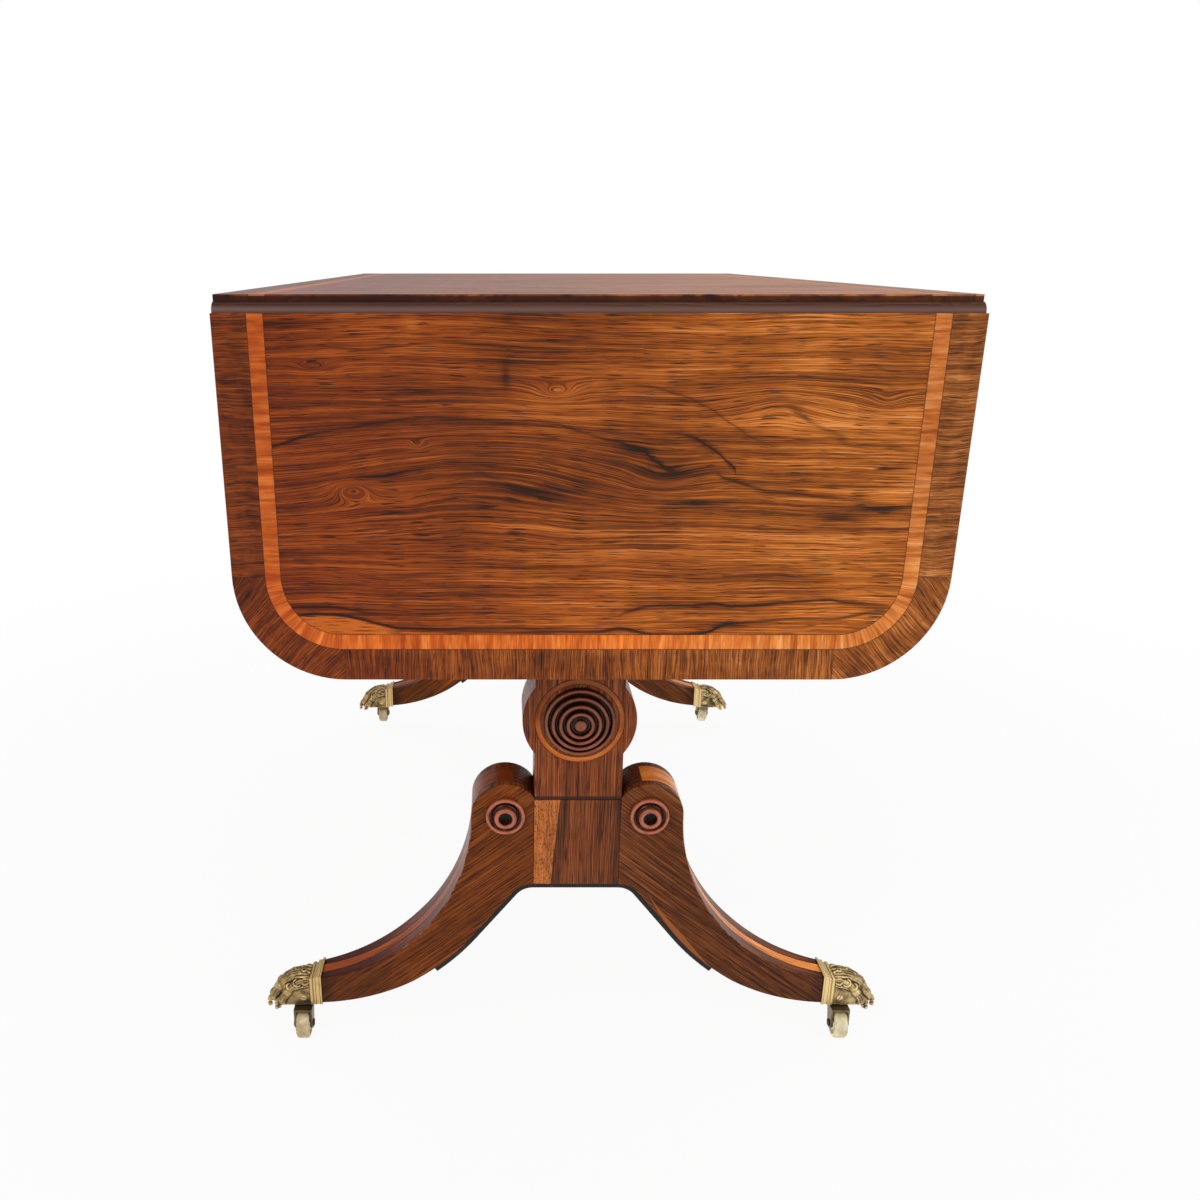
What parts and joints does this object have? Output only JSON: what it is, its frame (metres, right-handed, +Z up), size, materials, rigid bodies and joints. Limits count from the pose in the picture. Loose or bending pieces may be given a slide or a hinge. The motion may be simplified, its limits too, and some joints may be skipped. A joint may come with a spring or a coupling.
{
  "type": "sofa table",
  "caption": "Regency sofa table with two drop leaves on rule joints, frieze drawers, end standards on sabre legs, and brass paw castors.",
  "frame": {"origin": "on the floor under the middle of the table, both leaves hanging", "axes": "+Y along the table from the near leaf to the far leaf, +X across it towards the drawers, +Z up"},
  "size_m": [0.6112, 0.98, 0.72],
  "materials": {
    "rosewood_veneer": "gloss",
    "turned_rosewood": "gloss",
    "satinwood": "gloss",
    "mahogany": "satin",
    "beech": "matte",
    "oak": "matte",
    "iron": "matte",
    "brass": "satin"
  },
  "bodies": {
    "root": {"top_panel": "rosewood_veneer", "top_inlay": "satinwood", "hinge_fixed_flaps": "iron", "hinge_pins": "iron", "back_rail": "rosewood_veneer", "drawer_rails": "rosewood_veneer", "near_end_rail": "rosewood_veneer", "far_end_rail": "rosewood_veneer", "drawer_divider": "rosewood_veneer", "drawer_runners": "oak", "cross_bearers": "mahogany", "dummy_fronts": "rosewood_veneer", "dummy_knobs": "turned_rosewood", "bracket_blocks": "beech", "bracket_pins": "iron", "near_post": "rosewood_veneer", "far_post": "rosewood_veneer", "standard_blocks": "rosewood_veneer", "near_left_leg": "rosewood_veneer", "near_right_leg": "rosewood_veneer", "far_left_leg": "rosewood_veneer", "far_right_leg": "rosewood_veneer", "ear_rings": "satinwood", "ear_bosses": "turned_rosewood", "scroll_roundels": "turned_rosewood", "leg_inlays": "satinwood", "iron_straps": "iron", "stretcher": "turned_rosewood", "paw_caps": "brass"},
    "near_leaf": {"near_leaf": "rosewood_veneer", "near_leaf_inlay": "satinwood", "near_hinge_leaf_flaps": "iron"},
    "far_leaf": {"far_leaf": "rosewood_veneer", "far_leaf_inlay": "satinwood", "far_hinge_leaf_flaps": "iron"},
    "near_drawer": {"near_drawer_front": "rosewood_veneer", "near_drawer_box": "oak", "near_drawer_bottom": "oak", "near_drawer_knobs": "turned_rosewood"},
    "far_drawer": {"far_drawer_front": "rosewood_veneer", "far_drawer_box": "oak", "far_drawer_bottom": "oak", "far_drawer_knobs": "turned_rosewood"},
    "near_left_bracket": {"near_left_bracket": "beech"},
    "near_left_castor": {"near_left_fork": "brass", "near_left_axle": "iron"},
    "near_left_wheel": {"near_left_wheel": "brass"},
    "near_right_bracket": {"near_right_bracket": "beech"},
    "near_right_castor": {"near_right_fork": "brass", "near_right_axle": "iron"},
    "near_right_wheel": {"near_right_wheel": "brass"},
    "far_left_bracket": {"far_left_bracket": "beech"},
    "far_left_castor": {"far_left_fork": "brass", "far_left_axle": "iron"},
    "far_left_wheel": {"far_left_wheel": "brass"},
    "far_right_bracket": {"far_right_bracket": "beech"},
    "far_right_castor": {"far_right_fork": "brass", "far_right_axle": "iron"},
    "far_right_wheel": {"far_right_wheel": "brass"}
  },
  "joints": [
    {"name": "near_leaf_hinge", "type": "hinge", "parent": "root", "child": "near_leaf", "pos_m": [0, -0.4775, 0.7075], "axis": [-1, 0, 0], "range_deg": [0, 90]},
    {"name": "far_leaf_hinge", "type": "hinge", "parent": "root", "child": "far_leaf", "pos_m": [0, 0.4775, 0.7075], "axis": [1, 0, 0], "range_deg": [0, 90]},
    {"name": "near_drawer_slide", "type": "slide", "parent": "root", "child": "near_drawer", "axis": [1, 0, 0], "range_m": [0, 0.3]},
    {"name": "far_drawer_slide", "type": "slide", "parent": "root", "child": "far_drawer", "axis": [1, 0, 0], "range_m": [0, 0.3]},
    {"name": "near_left_bracket_pivot", "type": "hinge", "parent": "root", "child": "near_left_bracket", "pos_m": [-0.19, -0.4344, 0.66], "axis": [0, 0, -1], "range_deg": [0, 9]},
    {"name": "near_right_bracket_pivot", "type": "hinge", "parent": "root", "child": "near_right_bracket", "pos_m": [0.19, -0.4344, 0.66], "axis": [0, 0, 1], "range_deg": [0, 9]},
    {"name": "far_left_bracket_pivot", "type": "hinge", "parent": "root", "child": "far_left_bracket", "pos_m": [-0.19, 0.4344, 0.66], "axis": [0, 0, 1], "range_deg": [0, 9]},
    {"name": "far_right_bracket_pivot", "type": "hinge", "parent": "root", "child": "far_right_bracket", "pos_m": [0.19, 0.4344, 0.66], "axis": [0, 0, -1], "range_deg": [0, 9]},
    {"name": "near_left_castor_swivel", "type": "hinge", "parent": "root", "child": "near_left_castor", "pos_m": [-0.27, -0.386, 0.034], "axis": [0, 0, 1], "continuous": true},
    {"name": "near_left_wheel_spin", "type": "hinge", "parent": "near_left_castor", "child": "near_left_wheel", "pos_m": [-0.27, -0.4, 0.015], "axis": [1, 0, 0], "continuous": true},
    {"name": "near_right_castor_swivel", "type": "hinge", "parent": "root", "child": "near_right_castor", "pos_m": [0.27, -0.386, 0.034], "axis": [0, 0, 1], "continuous": true},
    {"name": "near_right_wheel_spin", "type": "hinge", "parent": "near_right_castor", "child": "near_right_wheel", "pos_m": [0.27, -0.4, 0.015], "axis": [1, 0, 0], "continuous": true},
    {"name": "far_left_castor_swivel", "type": "hinge", "parent": "root", "child": "far_left_castor", "pos_m": [-0.27, 0.386, 0.034], "axis": [0, 0, 1], "continuous": true},
    {"name": "far_left_wheel_spin", "type": "hinge", "parent": "far_left_castor", "child": "far_left_wheel", "pos_m": [-0.27, 0.4, 0.015], "axis": [1, 0, 0], "continuous": true},
    {"name": "far_right_castor_swivel", "type": "hinge", "parent": "root", "child": "far_right_castor", "pos_m": [0.27, 0.386, 0.034], "axis": [0, 0, 1], "continuous": true},
    {"name": "far_right_wheel_spin", "type": "hinge", "parent": "far_right_castor", "child": "far_right_wheel", "pos_m": [0.27, 0.4, 0.015], "axis": [1, 0, 0], "continuous": true}
  ]
}
